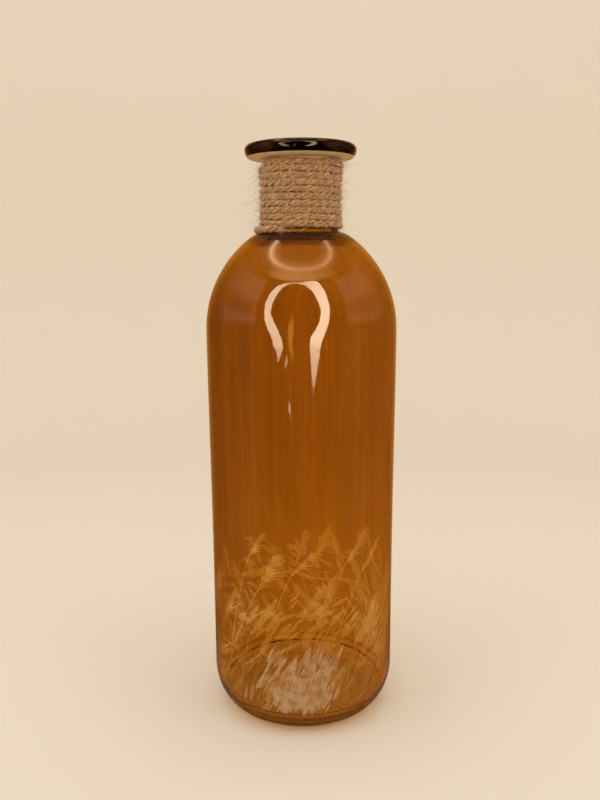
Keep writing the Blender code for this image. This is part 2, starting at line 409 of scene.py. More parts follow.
def plume(root, tip, rng, droop, fullness):
    """A reed's feathery head: a rachis, a narrow solid middle whose width is a sine that peaks
    past half way, and tapered barbs, three in four of them on the side to which it droops. A
    barb's length is a sine of its place along the rachis, and it leaves at 18 to 48 degrees."""
    rachis = bend(root, (root + tip) / 2 + rng.normal(0, 0.4, 2), tip, 10)
    length = np.linalg.norm(tip - root)
    heading = (tip - root) / length
    beside = 0.10 * length * droop * np.array((heading[1], -heading[0]))
    middle = bend(root, (root + tip) / 2 + beside, tip, 7)
    swell = 0.07 * length * np.sin(math.pi * np.linspace(0.02, 0.98, len(middle)) ** 1.35)
    outlines = [ribbon(rachis, np.linspace(0.22, 0.10, len(rachis))), ribbon(middle, swell)]
    for share in np.linspace(0.02, 0.97, int(length * 1.5 * fullness)):
        start = np.array([np.interp(share * 10, np.arange(11), rachis[:, k]) for k in (0, 1)])
        side = droop if rng.random() < 0.74 else -droop
        reach = length * (0.18 + 0.30 * math.sin(math.pi * min(1, 0.18 + 0.8 * share)))
        reach *= rng.uniform(0.6, 1.15) * (1 if side == droop else 0.45)
        turn = math.radians(rng.uniform(18, 48)) * side
        away = np.array((heading[0] * math.cos(turn) + heading[1] * math.sin(turn),
                         -heading[0] * math.sin(turn) + heading[1] * math.cos(turn)))
        end = start + reach * away
        middle = (start + end) / 2 + 0.14 * reach * np.array((away[1], -away[0])) * -side
        path = bend(start, middle, end, 3)
        outlines.append(ribbon(path, rng.uniform(0.36, 0.74) * np.array((0.42, 0.55, 0.36, 0.06))))
    return outlines


def reed_outlines():
    """All reed shapes, with the number of the first one that belongs to a clump at the foot.
    Where a leaf starts, how long, steep, bent and wide it is, is drawn at random."""
    rng = np.random.default_rng(31)
    shapes = []
    for root_deg, root_mm, foot_deg, foot_mm, tip_deg, tip_mm, droop, fullness in HEADS:
        foot = on_wall(foot_deg, foot_mm)
        shapes.append(stem(on_wall(root_deg, root_mm), foot, 0.05 * droop,
                           rng.uniform(0.50, 0.66), 10))
        shapes += plume(foot, on_wall(tip_deg, tip_mm), rng, droop, fullness)

    # long leaves: some nearly level, most climbing to the right
    for _ in range(LONG_LEAVES):
        start = on_wall(rng.uniform(0, 360), rng.uniform(34, 68))
        tip = climb_from(start, rng.uniform(9, 22),
                         rng.choice((rng.uniform(-9, 12), rng.uniform(18, 62))))
        shapes.append(blade(start, tip, rng.uniform(-0.13, 0.13), rng.uniform(0.5, 1.5), 5))
    # broad leaves low down, which make the pale mass
    for _ in range(BROAD_LEAVES):
        start = on_wall(rng.uniform(0, 360), rng.uniform(16, 56))
        tip = climb_from(start, rng.uniform(8, 19), rng.uniform(12, 74))
        shapes.append(blade(start, tip, rng.uniform(-0.16, 0.16), rng.uniform(1.5, 4.2), 5))
    # thickets, where broad leaves lie over one another in one flat patch
    for middle, height, spread, depth in THICKETS:
        for _ in range(THICKET_LEAVES):
            start = on_wall(rng.normal(middle, spread), rng.normal(height, depth))
            tip = climb_from(start, rng.uniform(6, 13), rng.uniform(10, 62))
            shapes.append(blade(start, tip, rng.uniform(-0.16, 0.16), rng.uniform(1.3, 3.3), 4))
    # thin bare stems that stand close together near the foot
    for _ in range(BARE_STEMS):
        start = on_wall(rng.uniform(0, 360), rng.uniform(12.5, 22))
        tip = climb_from(start, rng.uniform(12, 32), rng.normal(66, 9))
        shapes.append(stem(start, tip, rng.uniform(-0.05, 0.05), rng.uniform(0.26, 0.5), 4))
    # flecks that have flown off the heads
    for _ in range(FLECKS):
        start = on_wall(rng.uniform(0, 360), rng.uniform(88, 115))
        tip = start + rng.uniform(-0.9, 0.9, 2)
        shapes.append(blade(start, tip, 0.1, rng.uniform(0.25, 0.6), 3))
    # clumps at the foot, where leaves crowd until they run together
    first_of_clumps = len(shapes)
    for middle, fullness in CLUMPS:
        for lowest, highest, count, thinnest, widest in CLUMP_TIERS:
            for _ in range(int(count * fullness)):
                start = on_wall(rng.normal(middle, 11.5), rng.uniform(lowest, highest))
                tip = climb_from(start, rng.uniform(7, 15), rng.uniform(54, 76))
                width = rng.uniform(thinnest, widest)
                shapes.append(blade(start, tip, rng.uniform(-0.07, 0.07), width, 4))
    return shapes, first_of_clumps


def reed_zone(angles):
    """Triangles of the unrolled outer wall between the two reed heights, cut along the reeds.
    Returns angle and height of each point, the triangles, and for each one whether it is wall
    (0), reed (1) or reed of a clump (2)."""
    round_mm = TURN * REED_R * MM
    low, high = REED_LOW_Z * MM, REED_HIGH_Z * MM
    border = np.append(angles, TURN) * REED_R * MM
    heights = np.linspace(low, high, REED_ROWS + 1)[1:-1]
    rows, per_row = len(heights), len(border)
    # the two border rows, then the two sides of the seam, then loose points in offset rows
    points = [np.stack((border, np.full(per_row, h)), 1) for h in (low, high)]
    points.append(np.stack((np.repeat((0, round_mm), rows), np.tile(heights, 2)), 1))
    edges = [(base + i, base + i + 1) for base in (0, per_row) for i in range(per_row - 1)]
    for side, corner in ((0, 0), (1, per_row - 1)):
        seam = 2 * per_row + side * rows + np.arange(rows)
        ids = [corner, *seam.tolist(), per_row + corner]
        edges += list(zip(ids, ids[1:]))
    for number, h in enumerate(heights):
        u = (np.arange(1, REED_COLUMNS - 1) + 0.5 * (number % 2)) * round_mm / REED_COLUMNS
        points.append(np.stack((u, np.full(len(u), h)), 1))
    count = sum(len(p) for p in points)
    faces, in_clump = [], []
    shapes, first_of_clumps = reed_outlines()
    for number, outline in enumerate(shapes):
        outline[:, 1] = np.clip(outline[:, 1], low + REED_MARGIN_MM, high - REED_MARGIN_MM)
        # a reed that crosses the seam is drawn on both sides of it
        for shift in (-round_mm, 0, round_mm):
            if outline[:, 0].max() + shift > 0 and outline[:, 0].min() + shift < round_mm:
                points.append(outline + (shift, 0))
                faces.append(list(range(count, count + len(outline)))[::-1])
                in_clump.append(number >= first_of_clumps)
                count += len(outline)
    flat = [Vector(p) for p in np.vstack(points)]
    verts, _, tris, _, _, sources = delaunay_2d_cdt(flat, edges, faces, 0, 1e-4, True)
    verts, tris = np.array([tuple(v) for v in verts]), np.array(tris)
    reed = np.array([max((1 + in_clump[i] for i in s), default=0) for s in sources])
    middles = verts[tris].mean(axis=1)
    inside = (middles[:, 0] > 0) & (middles[:, 0] < round_mm)
    tris, reed = tris[inside], reed[inside]
    a, b, c = (verts[tris[:, k]] for k in range(3))
    area = (b - a)[:, 0] * (c - a)[:, 1] - (b - a)[:, 1] * (c - a)[:, 0]
    tris[area < 0] = tris[area < 0][:, ::-1]
    keep = np.abs(area) > TOUCH
    return verts[:, 0] / (REED_R * MM), verts[:, 1] / MM, tris[keep], reed[keep]


# Materials

def linear(hex_colour):
    """sRGB hex to a linear colour with alpha."""
    parts = [int(hex_colour[i:i + 2], 16) / 255 for i in (1, 3, 5)]
    return (*[p / 12.92 if p <= 0.04045 else ((p + 0.055) / 1.055) ** 2.4 for p in parts], 1)


def node(tree, kind, values=None):
    """Adds a shader node. Each value is an attribute, a ramp's stops (place: hex colour), an
    input's number or hex colour, or what the input is linked to: a socket, or a node for its
    first live output."""
    made = tree.nodes.new("ShaderNode" + kind)
    for key, value in (values or {}).items():
        if isinstance(value, bpy.types.Node):
            value = next(socket for socket in value.outputs if socket.enabled)
        if isinstance(value, bpy.types.NodeSocket):
            tree.links.new(value, made.inputs[key])
        elif key == "stops":
            elements = made.color_ramp.elements
            for number, (place, hex_colour) in enumerate(sorted(value.items())):
                stop = elements[number] if number < 2 else elements.new(place)
                stop.position, stop.color = place, linear(hex_colour)
        elif isinstance(key, str) and hasattr(made, key):
            setattr(made, key, value)
        else:
            is_hex = isinstance(value, str)
            made.inputs[key].default_value = linear(value) if is_hex else value
    return made


def material_of(build):
    """The material that a function builds: it has the function's name, and its surface is the
    node that the function returns."""
    made = bpy.data.materials.new(build.__name__)
    made.use_nodes = True
    made.node_tree.nodes.clear()
    node(made.node_tree, "OutputMaterial", {"Surface": build(made.node_tree)})
    return made


def mirror_rays(tree):
    """One for what only mirror reflections see, zero for all else, also through glass."""
    path = node(tree, "LightPath")
    return node(tree, "Math", {"operation": "SUBTRACT", "use_clamp": True,
                               0: path.outputs["Is Glossy Ray"],
                               1: path.outputs["Is Transmission Ray"]})


def glass(tree, shadow_hex, values):
    """Soda-lime glass, which lets the lamps' light through: shadow rays see a tinted clear film
    instead."""
    surface = node(tree, "BsdfPrincipled", {"IOR": 1.50, **values})
    clear = node(tree, "BsdfTransparent", {"Color": shadow_hex})
    path = node(tree, "LightPath")
    return node(tree, "MixShader", {0: path.outputs["Is Shadow Ray"], 1: surface, 2: clear})


def sprayed_amber_stain(tree):
    """Soda-lime glass with a sprayed translucent stain: glossy, amber-brown, a little uneven in
    upright bands 17 mm and 2 mm wide, with waves from 18 mm down in its surface."""
    place = node(tree, "TexCoord").outputs["Object"]
    streaks = node(tree, "Mapping", {"Scale": (60, 60, 9), "Vector": place})
    cloud = node(tree, "TexNoise", {"Scale": 1.0, "Detail": 3.0, "Roughness": 0.55,
                                    "Vector": streaks})
    combed = node(tree, "Mapping", {"Scale": (420, 420, 4), "Vector": place})
    threads = node(tree, "TexNoise", {"Scale": 1.0, "Detail": 1.0, "Vector": combed})
    banded = node(tree, "Mix", {0: 0.35, 2: cloud, 3: threads})
    # painted shade: the stain is darker on the left than on the right, where more light falls
    apart = node(tree, "SeparateXYZ", {0: place})
    painted_side_shade = node(tree, "MapRange", {"From Min": -0.05, "From Max": 0.05, "To Min": -0.09,
                                   "To Max": 0.13, "Value": apart.outputs["X"]})
    weighed = node(tree, "Math", {"operation": "ADD", 0: banded, 1: painted_side_shade})
    tone = node(tree, "ValToRGB", {"stops": {0.31: "#8C4A0A", 0.69: "#B56815"}, 0: weighed})
    # painted light: the stain is lighter towards the foot and most of all round the heel, for the
    # light that comes up through the floor; it is also lighter under the neck
    climb = node(tree, "MapRange", {"From Max": 0.2600, "Value": apart.outputs["Z"]})
    share = node(tree, "ValToRGB", {"stops": {
        0.010: "#FFFFFF", 0.028: "#DCDCDC", 0.069: "#787878", 0.173: "#707070",
        0.577: "#000000", 0.830: "#000000", 0.935: "#888888"}, 0: climb})
    foot_light_tone = node(tree, "ValToRGB", {"stops": {0.008: "#EAB020", 0.030: "#F09A20"}, 0: climb})
    thin = node(tree, "Mix", {"data_type": "RGBA", 0: share, 6: tone, 7: foot_light_tone})
    # painted shade: dark lines round the foot, for the dark lines that show through the thick heel
    foot = node(tree, "MapRange", {"From Max": 0.0160, "Value": apart.outputs["Z"]})
    runs = node(tree, "ValToRGB", {"stops": {
        0.12: "#D6CB98", 0.16: "#FFFFFF", 0.28: "#FFFFFF", 0.31: "#A08E68", 0.34: "#A08E68",
        0.37: "#FFFFFF", 0.50: "#FFFFFF", 0.53: "#988660", 0.56: "#988660", 0.60: "#FFFFFF",
        0.74: "#FFFFFF", 0.77: "#988660", 0.80: "#988660", 0.84: "#FFFFFF"}, 0: foot})
    # painted shade: darker in the groove where the shoulder meets the neck
    groove = node(tree, "MapRange", {"From Min": 0.2500, "From Max": 0.2580,
                                     "Value": apart.outputs["Z"]})
    groove_shade = node(tree, "ValToRGB", {"stops": {
        0.10: "#FFFFFF", 0.34: "#745840", 0.66: "#5C422A", 0.82: "#FFFFFF"}, 0: groove})
    colour = thin
    for layer in (runs, groove_shade):
        colour = node(tree, "Mix", {"data_type": "RGBA", "blend_type": "MULTIPLY", 0: 1.0,
                                    6: colour, 7: layer})
    ripple = node(tree, "TexNoise", {"Scale": 55.0, "Detail": 5.0, "Roughness": 0.60,
                                     "Vector": place})
    bump = node(tree, "Bump", {"Strength": 0.10, "Distance": 0.0006, "Height": ripple})
    return glass(tree, "#F6D6A4", {"Base Color": colour, "Roughness": 0.02,
                                   "Transmission Weight": 1.0, "Normal": bump})


def fire_polished_clear_glass(tree):
    """Bare soda-lime glass, fire polished: colourless with a faint olive cast, and slow waves
    24 mm long."""
    place = node(tree, "TexCoord").outputs["Object"]
    ripple = node(tree, "TexNoise", {"Scale": 42.0, "Detail": 2.0, "Vector": place})
    bump = node(tree, "Bump", {"Strength": 0.16, "Distance": 0.0008, "Height": ripple})
    return glass(tree, "#FAF8F0", {"Base Color": "#F1EFE0", "Roughness": 0.02,
                                   "Transmission Weight": 1.0, "Normal": bump})


def painted_lip_shade_and_dark_stain(tree):
    """The lip's glass, painted almost black: painted shade for the dark that its thick glass
    shows, also used for the dark stain in the foot's marks. Very glossy. A grey specular tint dims
    its reflections."""
    place = node(tree, "TexCoord").outputs["Object"]
    cloud = node(tree, "TexNoise", {"Scale": 90.0, "Detail": 2.0, "Vector": place})
    tone = node(tree, "Mix", {"data_type": "RGBA", 0: cloud, 6: "#150802", 7: "#2C1405"})
    return glass(tree, "#8A6238", {"Base Color": tone, "Roughness": 0.07,
                                   "Transmission Weight": 1.0, "Specular Tint": "#A29C98"})


def thin_amber_stain(tree):
    """The lip's underside, which the spray hardly reached: half frosted, pale amber."""
    place = node(tree, "TexCoord").outputs["Object"]
    cloud = node(tree, "TexNoise", {"Scale": 160.0, "Detail": 2.0, "Vector": place})
    tone = node(tree, "Mix", {"data_type": "RGBA", 0: cloud, 6: "#F6CE9A", 7: "#FFE0B6"})
    return glass(tree, "#DDB682", {"Base Color": tone, "Roughness": 0.30,
                                   "Transmission Weight": 0.50})


def pressed_mottled_glass(tree):
    """The floor's inner face: clear glass with the mottled orange peel of the plunger, 2.4 mm
    coarse, and the whitish bloom that it gives."""
    place = node(tree, "TexCoord").outputs["Object"]
    peel = node(tree, "TexNoise", {"Scale": 420.0, "Detail": 3.0, "Roughness": 0.6,
                                   "Vector": place})
    bloom = node(tree, "MapRange", {"From Min": 0.35, "From Max": 0.65, "To Min": 0.14,
                                    "To Max": 0.45, "Value": peel})
    bump = node(tree, "Bump", {"Strength": 0.28, "Distance": 0.0004, "Height": peel})
    return glass(tree, "#F6EEDF", {"Base Color": "#FFF0E4", "Roughness": bloom,
                                   "Transmission Weight": 0.46, "Normal": bump})


def etched_bare_glass(tree):
    """Glass laid bare by etching through the stain: frosted, most of all at the foot, with a
    breath of stain left in it, so that it glows amber rather than white. The acid's grit is
    drawn 1.1 mm coarse, because a finer one wouldn't show."""
    place = node(tree, "TexCoord").outputs["Object"]
    grit = node(tree, "TexNoise", {"Scale": 900.0, "Detail": 2.0, "Vector": place})
    apart = node(tree, "SeparateXYZ", {0: place})
    frost = node(tree, "MapRange", {"From Min": 0.018, "From Max": 0.038, "To Min": 0.36,
                                    "To Max": 0.20, "Value": apart.outputs["Z"]})
    rough = node(tree, "MapRange", {"To Min": 0.06, "Value": grit, "To Max": frost})
    cloud = node(tree, "TexNoise", {"Scale": 260.0, "Detail": 2.0, "Vector": place})
    tone = node(tree, "Mix", {"data_type": "RGBA", 0: cloud, 6: "#D4923A", 7: "#F0BA62"})
    # in the clumps at the foot the acid has taken the last of the stain
    clump = node(tree, "Attribute", {"attribute_name": "clump"}).outputs["Fac"]
    pale = node(tree, "ValToRGB", {"stops": {
        0.40: "#E2B088", 0.52: "#FFDCC2", 0.62: "#FFEEE2"}, 0: cloud})
    bare = node(tree, "Mix", {"data_type": "RGBA", 0: clump, 6: tone, 7: pale})
    clear = node(tree, "MapRange", {"To Min": 1.0, "To Max": 0.90, "Value": clump})
    return glass(tree, "#F3DDB4", {"Base Color": bare, "Roughness": rough,
                                   "Transmission Weight": clear})


def spun_jute_fibre(tree):
    """Natural jute, spun and laid in three plies: dry, matt, tan with paler and darker strands,
    and a slow change of tone along the twine. U runs once round a ply, V is its length in mm.
    The strands are 0.9 mm wide and 3 mm long, coarser than real fibres, so that they show."""
    uv = node(tree, "UVMap", {"uv_map": "UVMap"})
    lay = node(tree, "Mapping", {"Scale": (6.0, 0.34, 1.0), "Vector": uv})
    strand = node(tree, "TexNoise", {"Scale": 1.0, "Detail": 4.0, "Roughness": 0.7,
                                     "Vector": lay})
    slow = node(tree, "Mapping", {"Scale": (1.0, 0.09, 1.0), "Vector": uv})
    patch = node(tree, "TexNoise", {"Scale": 1.0, "Detail": 2.0, "Vector": slow})
    ramp = node(tree, "ValToRGB", {"stops": {
        0.36: "#84592F", 0.50: "#C89C6A", 0.66: "#F2D2A6"}, 0: strand})
    tone = node(tree, "Mix", {"data_type": "RGBA", "blend_type": "MULTIPLY", 0: patch,
                              6: ramp, 7: "#E4D2BC"})
    bump = node(tree, "Bump", {"Strength": 0.5, "Distance": 0.00012, "Height": strand})
    return node(tree, "BsdfPrincipled", {
        "Base Color": tone, "Roughness": 0.88, "Specular IOR Level": 0.25,
        "Sheen Weight": 0.25, "Sheen Roughness": 0.5, "Normal": bump})


def loose_jute_fibre(tree):
    """Single jute fibres: paler than the twine, dry, with a slight sheen."""
    place = node(tree, "TexCoord").outputs["Object"]
    cloud = node(tree, "TexNoise", {"Scale": 700.0, "Vector": place})
    tone = node(tree, "Mix", {"data_type": "RGBA", 0: cloud, 6: "#B98E60", 7: "#FFEACB"})
    return node(tree, "BsdfPrincipled", {
        "Base Color": tone, "Roughness": 0.6, "Sheen Weight": 0.2})


def matt_backdrop_paper(tree):
    """Matt studio paper, pale and warm. Mirror reflections see it as a dim room with a lit
    stretch at each side, as the glass in the photograph does, and all else sees plain paper. It
    is dimmed a little less right round the vase's foot."""
    place = node(tree, "TexCoord").outputs["Object"]
    far = node(tree, "VectorMath", {"operation": "LENGTH", 0: place})
    away = node(tree, "MapRange", {"From Min": 0.045, "From Max": 0.12, "To Min": 0.85,
                                   "Value": far})
    flat = node(tree, "VectorMath", {"operation": "MULTIPLY", 0: place, 1: (1, 1, 0)})
    heading = node(tree, "VectorMath", {"operation": "NORMALIZE", 0: flat})
    towards = node(tree, "SeparateXYZ", {0: heading})
    # zero straight in front, one straight behind
    behind = node(tree, "MapRange", {"From Min": -1.0, "Value": towards.outputs["Y"]})
    # the height, counted a little higher towards the back
    raised = node(tree, "VectorMath", {"operation": "DOT_PRODUCT", 0: place, 1: (0, 0.07, 1)})
    height = node(tree, "MapRange", {"From Max": 1.5, "Value": raised})
    # the lit stretches, which show as soft lobes on the shoulder
    beside = node(tree, "ValToRGB", {"stops": {
        0.20: "#000000", 0.235: "#FFFFFF", 0.50: "#E0E0E0", 0.74: "#484848",
        0.84: "#000000"}, 0: behind})
    above = node(tree, "ValToRGB", {"stops": {
        0.160: "#000000", 0.222: "#FFFFFF", 0.26: "#D8D8D8", 0.32: "#6A6A6A", 0.37: "#909090",
        0.45: "#FFFFFF", 0.60: "#ECECEC", 0.685: "#E0E0E0", 0.75: "#000000"}, 0: height})
    lit = node(tree, "Math", {"operation": "MULTIPLY", 0: beside, 1: above})
    dark = node(tree, "Math", {"operation": "SUBTRACT", 0: 1.0, 1: lit})
    wall = node(tree, "Math", {"operation": "MULTIPLY", 0: away, 1: dark})
    dim = node(tree, "Math", {"operation": "MULTIPLY", 0: mirror_rays(tree), 1: wall})
    room = node(tree, "ValToRGB", {"stops": {
        0.215: "#2E251D", 0.235: "#846F56", 0.42: "#5A4A3A", 0.70: "#3E3228", 0.86: "#5E4426",
        0.94: "#C08C42", 1.00: "#D8A45A"}, 0: behind})
    tone = node(tree, "Mix", {"data_type": "RGBA", 0: dim, 6: "#F3EADC", 7: room})
    return node(tree, "BsdfPrincipled", {
        "Base Color": tone, "Roughness": 0.9, "Specular IOR Level": 0.1})


def tube_lamp_glow(tree):
    """Light of the bent tube lamp, which only mirror reflections see."""
    glow = node(tree, "Attribute", {"attribute_name": "glow"})
    light = node(tree, "Emission", {"Color": glow.outputs["Vector"],
                                    "Strength": mirror_rays(tree)})
    return node(tree, "AddShader", {0: light, 1: node(tree, "BsdfTransparent")})


# The glass

def new_object(name, verts, faces, finishes):
    """A mesh object at the origin, in the scene."""
    mesh = bpy.data.meshes.new(name)
    mesh.from_pydata(np.asarray(verts).tolist(), [], faces)
    for finish in finishes:
        mesh.materials.append(finish)
    made = bpy.data.objects.new(name, mesh)
    bpy.context.scene.collection.objects.link(made)
    return made


def add_piece(name, verts, faces, finishes):
    """A smooth piece of the vase, which rides on its one body."""
    piece = new_object(name, verts, faces, finishes)
    piece.data.shade_smooth()
    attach(piece, "root")
    return piece


def finishes_of(row_of_quad, z_mid, r_first, inside_count, low_row):
    """The finish of each turned quad, from its row, its middle height and its first radius."""
    outside = row_of_quad >= inside_count - 1
    in_throat = (row_of_quad < inside_count + MOUTH_STEPS - 1) & (z_mid < TOP_Z - DARK_THROAT_DROP)
    lip = outside & (z_mid > DARK_LIP_Z) & ~in_throat
    past_lip_top = row_of_quad > inside_count + MOUTH_STEPS + LIP_TOP_STEPS
    foot = outside & (row_of_quad > low_row) & (z_mid < BARE_FOOT_Z) & (r_first < BARE_FOOT_R)
    kind = np.full(len(row_of_quad), STAINED)
    kind[row_of_quad < inside_count + MOUTH_STEPS] = CLEAR
    kind[(z_mid > LIP_UNDER_Z - THIN_STAIN_DROP) & past_lip_top] = THIN
    # the lip takes the near-black finish: painted shade
    kind[lip] = DARK
    kind[~outside & (r_first < MOTTLED_R) & (z_mid < MOTTLED_Z)] = PRESSED
    kind[foot] = CLEAR
    # stain has caught between the foot's bumps, in one column of every four, and in most of the
    # dashes that the plunger's rim left where the floor turns up, three columns of every four
    column = np.tile(np.arange(COLUMNS), len(row_of_quad) // COLUMNS)
    marked = np.random.default_rng(3).random(STIPPLES) < RIM_MARK_SHARE
    rim = ~outside & (np.abs(z_mid - RIM_MARK_Z) < RIM_MARK_REACH) & np.repeat(marked, 4)[column]
    kind[foot & (np.abs(z_mid) < 1e-6) & (column % 4 < 1)] = DARK
    kind[rim & (column % 4 < 3)] = DARK
    return kind


def seam_ids(ids, zone_a, zone_z):
    """Point numbers of the zone, where each point on the seam's far side takes the number of
    the nearest point on its near side."""
    near = np.nonzero(np.abs(zone_a) < 1e-8)[0]
    far = np.nonzero(np.abs(zone_a - TURN) < TOUCH)[0]
    near = near[np.argsort(zone_z[near])]
    above = np.clip(np.searchsorted(zone_z[near], zone_z[far]), 1, len(near) - 1)
    lower_is_nearer = (np.abs(zone_z[near][above - 1] - zone_z[far])
                       < np.abs(zone_z[near][above] - zone_z[far]))
    ids[far] = ids[near[above - lower_is_nearer]]
    return ids


def vessel():
    """The glass: profile rows turned about +Z, with the reed zone cut in between two rows."""
    rows, inside_count = vessel_rows()
    angles = np.arange(COLUMNS) * TURN / COLUMNS
    heights, radii, normal_r, normal_z = outside_table()

    # the zone replaces the outer rows between its two heights
    in_zone = ((np.arange(len(rows)) > inside_count + MOUTH_STEPS) & (rows[:, 0] > RING_OUTER_R)
               & (rows[:, 1] > REED_LOW_Z - 1e-4) & (rows[:, 1] < REED_HIGH_Z + 1e-4))
    top_row, last_row = np.nonzero(in_zone)[0][[0, -1]]
    low_row = top_row + 1
    ends = np.array([(np.interp(z, heights, radii), z) for z in (REED_HIGH_Z, REED_LOW_Z)])
    rows = np.vstack((rows[:top_row], ends, rows[last_row + 1:]))
    row_normals = square_to(rows)
    for row, z in ((top_row, REED_HIGH_Z), (low_row, REED_LOW_Z)):
        row_normals[row] = np.interp(z, heights, normal_r), np.interp(z, heights, normal_z)

    inner = rows[1:-1]
    count = len(inner)
    turned_a = np.tile(angles, count)
    # knurling under the foot: a cosine of the angle lifts the ring between its bumps
    bearing = (np.abs(inner[:, 1]) < 1e-6) & (np.arange(count) > inside_count)
    lift = STIPPLE_H * (0.5 - 0.5 * np.cos(STIPPLES * turned_a))
    turned_z = np.repeat(inner[:, 1], COLUMNS) + np.repeat(bearing, COLUMNS) * lift
    verts = turned(np.repeat(inner[:, 0], COLUMNS), turned_z, turned_a)
    normals = turned(np.repeat(row_normals[1:-1, 0], COLUMNS),
                     np.repeat(row_normals[1:-1, 1], COLUMNS), turned_a)

    grid = np.arange(count * COLUMNS).reshape(count, COLUMNS)
    kept_rows = np.delete(np.arange(count - 1), top_row - 1)
    quads = band_quads(grid)[kept_rows].reshape(-1, 4)
    row_of_quad = np.repeat(kept_rows, COLUMNS)
    z_mid = (inner[:-1, 1] + inner[1:, 1])[row_of_quad] / 2
    kind = finishes_of(row_of_quad, z_mid, inner[row_of_quad, 0], inside_count, low_row)

    # fans round the floor's centre and the push-up's
    floor_pole, foot_pole = len(verts), len(verts) + 1
    nxt = np.roll(grid, -1, axis=1)
    floor_fan = np.stack((np.full(COLUMNS, floor_pole), grid[0], nxt[0]), 1)
    foot_fan = np.stack((grid[-1], np.full(COLUMNS, foot_pole), nxt[-1]), 1)

    zone_a, zone_z, zone_tris, reed = reed_zone(angles)
    zone = turned(np.interp(zone_z, heights, radii), zone_z, zone_a)
    zone_normals = turned(np.interp(zone_z, heights, normal_r),
                          np.interp(zone_z, heights, normal_z), zone_a)
    # points on the two border rows are the turned grid's own, and the seam's two sides are one
    ids = foot_pole + 1 + np.arange(len(zone))
    column = np.round(zone_a / TURN * COLUMNS).astype(int) % COLUMNS
    ids = np.where(np.abs(zone_z - REED_HIGH_Z) < TOUCH, grid[top_row - 1][column], ids)
    ids = np.where(np.abs(zone_z - REED_LOW_Z) < TOUCH, grid[low_row - 1][column], ids)
    zone_tris = seam_ids(ids, zone_a, zone_z)[zone_tris]
    whole = (zone_tris != np.roll(zone_tris, 1, axis=1)).all(axis=1)
    zone_tris, reed = zone_tris[whole], reed[whole]

    verts = np.vstack((verts, ((0, 0, rows[0, 1]), (0, 0, rows[-1, 1])), zone))
    normals = np.vstack((normals, ((0, 0, 1), (0, 0, -1)), zone_normals))
    used = np.unique(np.concatenate([np.ravel(f) for f in
                                     (quads, floor_fan, foot_fan, zone_tris)]))
    renumber = np.full(len(verts), -1)
    renumber[used] = np.arange(len(used))
    faces = [face for group in (quads, floor_fan, foot_fan, zone_tris)
             for face in renumber[group].tolist()]

    piece = add_piece("vessel", verts[used], faces,
                      [material_of(build) for build in (
                          sprayed_amber_stain, fire_polished_clear_glass, painted_lip_shade_and_dark_stain,
                          etched_bare_glass, thin_amber_stain, pressed_mottled_glass)])
    kinds = np.concatenate((kind, np.full(2 * COLUMNS, CLEAR),
                            np.where(reed > 0, ETCHED, STAINED)))
    piece.data.polygons.foreach_set("material_index", kinds.astype(np.int32))
    clump = np.zeros(len(faces), np.float32)
    clump[-len(reed):] = reed == 2
    piece.data.attributes.new("clump", "FLOAT", "FACE").data.foreach_set("value", clump)
    piece.data.normals_split_custom_set_from_vertices(normals[used].tolist())
    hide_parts("glass_vessel")


# The twine

def uneven(count, size_and_length, rng):
    """Smooth random run of a size along the twine: random values every given length, blended by
    a cubic, plus half as much at half the length."""
    size, length = size_and_length
    s = np.arange(count) * PLY_STEP
    total = np.zeros(count)
    for octave in range(2):
        cell = length / 2 ** octave
        knots = rng.normal(0, 1, int(s[-1] / cell) + 3)
        place = s / cell
        low = place.astype(int)
        t = place - low
        t = t * t * (3 - 2 * t)
        total += (knots[low] * (1 - t) + knots[low + 1] * t) / 2 ** octave
    return size * total


def seated_radii(z):
    """Radius at which a circle of the twine's size rests on the glass at each height: the
    largest, over the outline's points, of the radius plus the circle's reach at that height."""
    outline = chain(climb_to(LIP_UNDER_Z - LIP_ROOT_FILLET, 8), lip_root(60))
    outline = outline[outline[:, 1] > NECK_FOOT_Z - 0.004]
    gap = np.abs(z[:, None] - outline[None, :, 1])
    reach = np.sqrt(np.maximum(ROLL_R ** 2 - gap ** 2, 0))
    return np.where(gap < ROLL_R, outline[None, :, 0] + reach, 0).max(axis=1)


def twine_line():
    """Centre line of the winding. Its height falls with the angle, slower across the front than
    across the back by a sine of the angle. Its radius is seated on the glass, and where a turn
    would lie too close under the one before, it is pushed out until the two just touch."""
    top_z = LIP_UNDER_Z - ROLL_R
    low_z = NECK_FOOT_Z + ROLL_R
    per_turn = int(TURN * WINDING_R / PLY_STEP)
    turn = np.arange(round(-TUCKED_TURNS * per_turn), round(TWINE_TURNS * per_turn)) / per_turn
    angle = TWINE_START + TURN * turn
    swing = FRONT_SWING / TURN * np.sin(TURN * turn + FRONT_SWING_AT)
    z = np.clip(top_z - TWINE_PITCH * (turn + swing), low_z - LAST_TURN_DIP, top_z)
    rng = np.random.default_rng(5)
    z = z + uneven(len(z), STRAY_Z, rng)
    radius = seated_radii(z) + uneven(len(z), STRAY_R, rng)
    drop = z[:-per_turn] - z[per_turn:]
    push = np.sqrt(np.maximum((2 * TWINE_R) ** 2 - drop ** 2, 0))
    push = np.where(drop > CLEAR_DROP, 0, push)
    radius[per_turn:] = np.maximum(radius[per_turn:], radius[:-per_turn] + push)
    return turned(radius, z, angle)


def directions(line):
    """Unit vectors along the winding, outward across it, and upward, square to both."""
    along = unit(np.gradient(line, axis=0))
    outward = line * (1, 1, 0)
    outward = unit(outward - dot(outward, along) * along)
    up = np.cross(along, outward)
    return along, outward, up * np.sign(up[:, 2:3])


def tube(path, side, third, radii, sides):
    """Rings of a tube: round each point of the path, the side direction times the cosine plus
    the third times the sine, scaled by the radii."""
    a = np.arange(sides) * TURN / sides
    ring = np.cos(a)[:, None] * side[..., None, :] + np.sin(a)[:, None] * third[..., None, :]
    return path[..., None, :] + ring * radii[..., None]


def tube_quads(grid):
    """Quads of tubes whose rings of point numbers lie in a grid, faces outwards."""
    return band_quads(grid)[..., (0, 3, 2, 1)].reshape(-1, 4).tolist()


